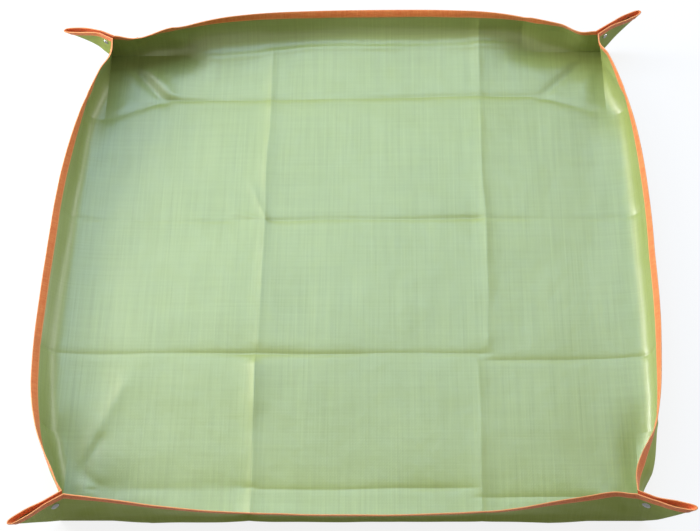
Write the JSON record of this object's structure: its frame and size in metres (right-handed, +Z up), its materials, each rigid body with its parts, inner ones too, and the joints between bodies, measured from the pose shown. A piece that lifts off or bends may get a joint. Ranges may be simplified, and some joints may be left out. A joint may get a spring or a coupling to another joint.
{
  "type": "potting soil tray",
  "caption": "Square repotting mat of coated woven sheet with a bound edge, its corners pinched by press studs so the sides stand up as a shallow tray; unsnapped, the walls fold out.",
  "frame": {"origin": "middle of the floor's underside", "axes": "+X right, +Y back, +Z up; the side nearest the picture's camera is -Y"},
  "size_m": [0.9865, 0.943, 0.082],
  "materials": {
    "coated_sheet": "glossy coated weave",
    "edge_binding": "woven tape",
    "snap_metal": "polished"
  },
  "bodies": {
    "floor": {"floor": "coated_sheet"},
    "front_wall": {"front_wall": "coated_sheet", "front_binding": "edge_binding"},
    "right_wall": {"right_wall": "coated_sheet", "right_binding": "edge_binding"},
    "back_wall": {"back_wall": "coated_sheet", "back_binding": "edge_binding"},
    "left_wall": {"left_wall": "coated_sheet", "left_binding": "edge_binding"},
    "front_left_flap_outer": {"front_left_flap_outer": "coated_sheet", "front_left_binding_outer": "edge_binding", "front_left_snap_cap": "snap_metal", "front_left_snap_socket": "snap_metal"},
    "front_left_flap_inner": {"front_left_flap_inner": "coated_sheet", "front_left_binding_inner": "edge_binding", "front_left_snap_stud": "snap_metal", "front_left_snap_post": "snap_metal"},
    "front_right_flap_outer": {"front_right_flap_outer": "coated_sheet", "front_right_binding_outer": "edge_binding", "front_right_snap_cap": "snap_metal", "front_right_snap_socket": "snap_metal"},
    "front_right_flap_inner": {"front_right_flap_inner": "coated_sheet", "front_right_binding_inner": "edge_binding", "front_right_snap_stud": "snap_metal", "front_right_snap_post": "snap_metal"},
    "back_left_flap_outer": {"back_left_flap_outer": "coated_sheet", "back_left_binding_outer": "edge_binding", "back_left_snap_cap": "snap_metal", "back_left_snap_socket": "snap_metal"},
    "back_left_flap_inner": {"back_left_flap_inner": "coated_sheet", "back_left_binding_inner": "edge_binding", "back_left_snap_stud": "snap_metal", "back_left_snap_post": "snap_metal"},
    "back_right_flap_outer": {"back_right_flap_outer": "coated_sheet", "back_right_binding_outer": "edge_binding", "back_right_snap_cap": "snap_metal", "back_right_snap_socket": "snap_metal"},
    "back_right_flap_inner": {"back_right_flap_inner": "coated_sheet", "back_right_binding_inner": "edge_binding", "back_right_snap_stud": "snap_metal", "back_right_snap_post": "snap_metal"}
  },
  "joints": [
    {"name": "front_wall_fold", "type": "hinge", "parent": "floor", "child": "front_wall", "pos_m": [0, -0.425, 0.00025], "axis": [1, 0, 0], "range_deg": [0, 72]},
    {"name": "right_wall_fold", "type": "hinge", "parent": "floor", "child": "right_wall", "pos_m": [0.425, 0, 0.00025], "axis": [0, 1, 0], "range_deg": [0, 49]},
    {"name": "back_wall_fold", "type": "hinge", "parent": "floor", "child": "back_wall", "pos_m": [0, 0.425, 0.00025], "axis": [-1, 0, 0], "range_deg": [0, 41.5]},
    {"name": "left_wall_fold", "type": "hinge", "parent": "floor", "child": "left_wall", "pos_m": [-0.425, 0, 0.00025], "axis": [0, -1, 0], "range_deg": [0, 32.8]},
    {"name": "front_left_flap_swing", "type": "hinge", "parent": "front_wall", "child": "front_left_flap_outer", "pos_m": [-0.42419, -0.42626, 0.00031], "axis": [0.2207, 0.1903, 0.9566], "range_deg": [-43.3, 0]},
    {"name": "front_left_flap_unfold", "type": "hinge", "parent": "front_left_flap_outer", "child": "front_left_flap_inner", "pos_m": [-0.425, -0.425, 0.00025], "axis": [-0.5603, -0.3237, 0.7624], "range_deg": [0, 98.4]},
    {"name": "front_right_flap_swing", "type": "hinge", "parent": "front_wall", "child": "front_right_flap_outer", "pos_m": [0.42442, -0.42638, 0.00039], "axis": [-0.2173, 0.1886, 0.9577], "range_deg": [0, 24.5]},
    {"name": "front_right_flap_unfold", "type": "hinge", "parent": "front_right_flap_outer", "child": "front_right_flap_inner", "pos_m": [0.425, -0.425, 0.00025], "axis": [0.6337, -0.1914, 0.7495], "range_deg": [-108.3, 0]},
    {"name": "back_left_flap_swing", "type": "hinge", "parent": "back_wall", "child": "back_left_flap_outer", "pos_m": [-0.4244, 0.42637, 0.00038], "axis": [0.2177, -0.1887, 0.9576], "range_deg": [0, 8.3]},
    {"name": "back_left_flap_unfold", "type": "hinge", "parent": "back_left_flap_outer", "child": "back_left_flap_inner", "pos_m": [-0.425, 0.425, 0.00025], "axis": [-0.6275, 0.2051, 0.7512], "range_deg": [-63.7, 0]},
    {"name": "back_right_flap_swing", "type": "hinge", "parent": "back_wall", "child": "back_right_flap_outer", "pos_m": [0.42419, 0.42626, 0.00031], "axis": [-0.2207, -0.1903, 0.9566], "range_deg": [-9.4, 0]},
    {"name": "back_right_flap_unfold", "type": "hinge", "parent": "back_right_flap_outer", "child": "back_right_flap_inner", "pos_m": [0.425, 0.425, 0.00025], "axis": [0.5603, 0.3237, 0.7624], "range_deg": [0, 77.9]}
  ],
  "couplings": [
    {"joint": "right_wall_fold", "follows": "front_wall_fold", "ratio": 0.68056},
    {"joint": "back_wall_fold", "follows": "front_wall_fold", "ratio": 0.57639},
    {"joint": "left_wall_fold", "follows": "front_wall_fold", "ratio": 0.45556},
    {"joint": "front_left_flap_swing", "follows": "front_wall_fold", "ratio": -0.59888},
    {"joint": "front_left_flap_unfold", "follows": "front_wall_fold", "ratio": 1.364},
    {"joint": "front_right_flap_swing", "follows": "front_wall_fold", "ratio": 0.33768},
    {"joint": "front_right_flap_unfold", "follows": "front_wall_fold", "ratio": -1.502},
    {"joint": "back_left_flap_swing", "follows": "front_wall_fold", "ratio": 0.11296},
    {"joint": "back_left_flap_unfold", "follows": "front_wall_fold", "ratio": -0.88242},
    {"joint": "back_right_flap_swing", "follows": "front_wall_fold", "ratio": -0.12812},
    {"joint": "back_right_flap_unfold", "follows": "front_wall_fold", "ratio": 1.0801}
  ]
}
